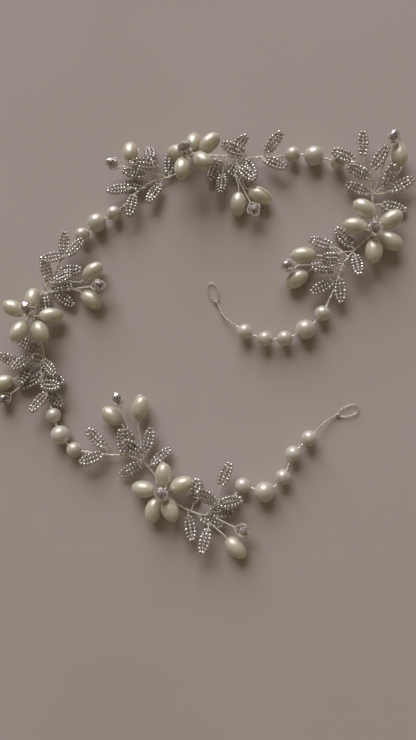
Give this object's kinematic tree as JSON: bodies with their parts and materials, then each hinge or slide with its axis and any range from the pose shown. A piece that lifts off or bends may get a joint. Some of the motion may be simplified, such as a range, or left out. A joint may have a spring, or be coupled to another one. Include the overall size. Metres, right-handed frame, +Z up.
{
  "type": "hair vine",
  "caption": "Wire hair vine laid flat: oval-pearl flowers with crystal centres, beaded leaf sprigs and pearl sprays, joined by runs of round pearls, with an end loop each side for pins.",
  "frame": {"origin": "middle of the laid vine's outline, on the surface that it lies on", "axes": "+X to the picture's right, +Y to the picture's top, +Z up from the surface"},
  "size_m": [0.1406, 0.139, 0.0146],
  "materials": {
    "pearl": "cream pearl lustre",
    "crystal": "clear, faceted",
    "beaded_leaf": "silver-lined seed beads on wire",
    "wire": "bright silver-plated wire, twisted"
  },
  "bodies": {
    "root": {"pearl_run_1": "pearl", "pearl_run_2": "pearl", "pearl_run_3": "pearl", "pearl_run_4": "pearl", "pearl_run_5": "pearl", "end_wire_1": "wire", "end_wire_2": "wire", "leaf_sprig_1": "beaded_leaf", "leaf_sprig_2": "beaded_leaf", "leaf_sprig_3": "beaded_leaf", "leaf_sprig_4": "beaded_leaf", "leaf_sprig_5": "beaded_leaf", "leaf_sprig_6": "beaded_leaf", "leaf_sprig_7": "beaded_leaf", "leaf_sprig_8": "beaded_leaf", "flower_wire_1": "wire", "flower_wire_2": "wire", "flower_wire_3": "wire", "flower_wire_4": "wire", "flower_crystal_1": "crystal", "flower_crystal_2": "crystal", "flower_crystal_3": "crystal", "flower_crystal_4": "crystal", "petal_1_1": "pearl", "petal_1_2": "pearl", "petal_1_3": "pearl", "petal_1_4": "pearl", "petal_1_5": "pearl", "petal_2_1": "pearl", "petal_2_2": "pearl", "petal_2_3": "pearl", "petal_2_4": "pearl", "petal_2_5": "pearl", "petal_3_1": "pearl", "petal_3_2": "pearl", "petal_3_3": "pearl", "petal_3_4": "pearl", "petal_3_5": "pearl", "petal_4_1": "pearl", "petal_4_2": "pearl", "petal_4_3": "pearl", "petal_4_4": "pearl", "petal_4_5": "pearl", "spray_pearl_1": "pearl", "spray_pearl_2": "pearl", "spray_pearl_3": "pearl", "spray_pearl_4": "pearl", "spray_pearl_5": "pearl", "spray_pearl_6": "pearl", "spray_pearl_7": "pearl", "spray_pearl_8": "pearl", "spray_pearl_9": "pearl", "spray_pearl_10": "pearl", "spray_pearl_11": "pearl", "spray_pearl_12": "pearl"}
  },
  "joints": []
}
